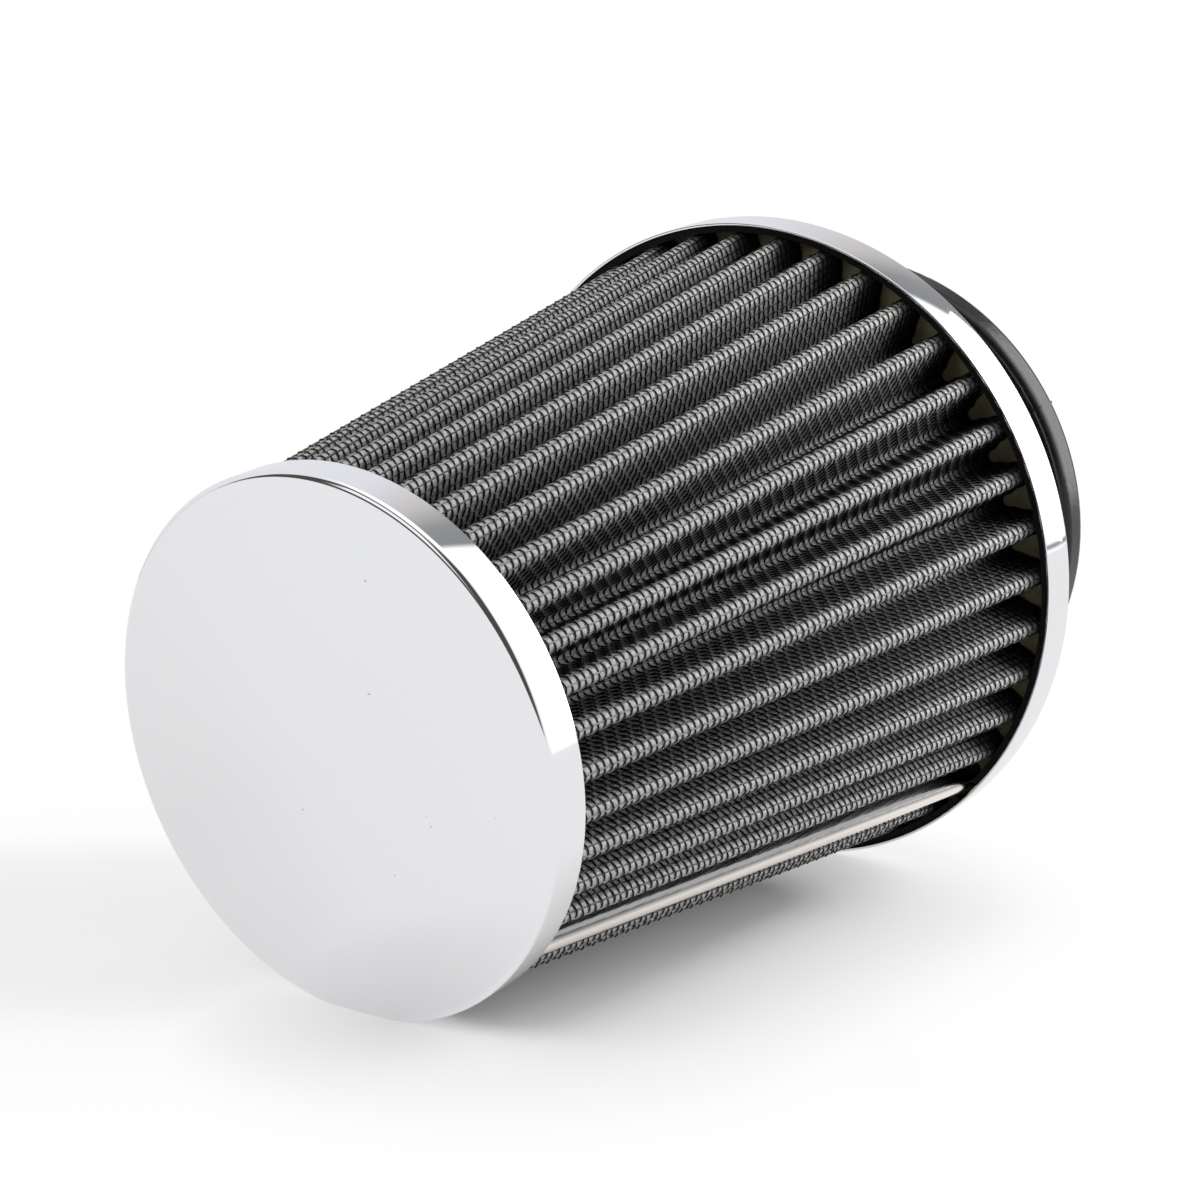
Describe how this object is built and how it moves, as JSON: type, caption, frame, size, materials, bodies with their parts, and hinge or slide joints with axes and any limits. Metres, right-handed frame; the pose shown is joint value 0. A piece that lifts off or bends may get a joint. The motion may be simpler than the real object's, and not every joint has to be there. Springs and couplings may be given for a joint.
{
  "type": "cone air filter",
  "caption": "Pleated cone air filter under a coated wire screen, with a flat metal end cap, a metal base ring, a seam clip and a rubber neck.",
  "frame": {"origin": "centre of the neck's mouth, on the plane that the filter stands on", "axes": "+Z along the filter's axis, from the neck's mouth to the end cap; +X towards the seam clip"},
  "size_m": [0.127, 0.127, 0.164],
  "materials": {
    "bright_metal": "polished plating on pressed steel",
    "potting": "cast polyurethane, satin",
    "coated_wire": "black epoxy coating on woven wire",
    "media": "oiled grey cotton gauze",
    "clip_metal": "bright rolled strip",
    "neck_rubber": "moulded, semi-gloss"
  },
  "bodies": {
    "root": {"end_cap": "bright_metal", "base_ring": "bright_metal", "cap_potting": "potting", "base_potting": "potting", "outer_screen": "coated_wire", "inner_screen": "coated_wire", "filter_media": "media", "seam_clip": "clip_metal", "rubber_neck": "neck_rubber"}
  },
  "joints": []
}
